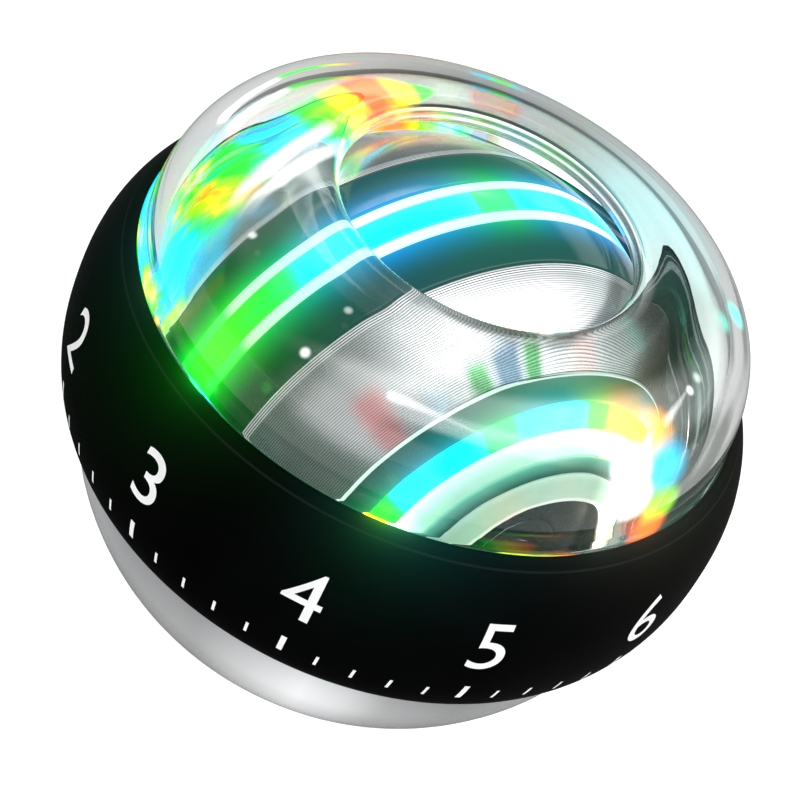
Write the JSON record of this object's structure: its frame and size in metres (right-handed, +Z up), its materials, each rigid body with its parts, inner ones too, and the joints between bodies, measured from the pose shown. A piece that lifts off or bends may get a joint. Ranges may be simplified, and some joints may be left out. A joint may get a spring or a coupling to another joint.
{
  "type": "gyroscopic wrist ball",
  "caption": "Hand-held gyroscopic wrist exerciser: a lit heavy wheel on a cross axle that spins and turns inside a round casing with a clear dome, a rolled mouth and a rubber grip band.",
  "frame": {"origin": "middle of the flat foot under the casing, at the bottom centre of the object", "axes": "+Z up through the ball's centre and the mouth of the dome, +X along the wheel's axle at rest, towards the end with the magnet holder"},
  "size_m": [0.073, 0.073, 0.0595],
  "materials": {
    "clear_shell": "gloss",
    "frosted_shell": "satin",
    "grip_rubber": "satin",
    "ring_plastic": "satin",
    "magnet": "gloss",
    "axle_steel": "gloss",
    "cast_zinc": "satin",
    "band_light": "gloss",
    "edge_light": "gloss",
    "smoke_plastic": "gloss",
    "spun_plate": "satin",
    "side_light": "gloss",
    "white_trim": "gloss",
    "mint_ring": "satin",
    "cup_plastic": "satin",
    "circuit_board": "satin",
    "led": "gloss",
    "copper_wire": "gloss"
  },
  "bodies": {
    "casing": {"upper_shell": "clear_shell", "lower_shell": "frosted_shell", "grip_band": "grip_rubber"},
    "ring": {"guide_ring": "ring_plastic", "magnet_holder": "ring_plastic", "ring_magnet": "magnet"},
    "rotor": {"axle": "axle_steel", "flywheel": "cast_zinc", "light_band": "band_light", "light_edge_right": "edge_light", "light_edge_left": "edge_light", "rim_right": "smoke_plastic", "rim_left": "smoke_plastic", "side_plate_right": "spun_plate", "side_plate_left": "spun_plate", "side_cap_right": "smoke_plastic", "side_cap_left": "smoke_plastic", "side_light_right": "side_light", "side_light_left": "side_light", "side_trim_right": "white_trim", "side_trim_left": "white_trim", "hub_cup_right": "cup_plastic", "hub_cup_left": "cup_plastic", "hub_ring_right": "mint_ring", "hub_ring_left": "mint_ring", "led_board_right": "circuit_board", "led_board_left": "circuit_board", "led_right_1": "led", "led_right_2": "led", "led_right_3": "led", "led_left_1": "led", "led_left_2": "led", "led_left_3": "led", "coil_bobbin": "cup_plastic", "pickup_coil": "copper_wire"}
  },
  "joints": [
    {"name": "ring_turn", "type": "hinge", "parent": "casing", "child": "ring", "pos_m": [0, 0, 0.0325], "axis": [0, 0, 1], "continuous": true},
    {"name": "rotor_spin", "type": "hinge", "parent": "ring", "child": "rotor", "pos_m": [0, 0, 0.0325], "axis": [1, 0, 0], "continuous": true}
  ]
}
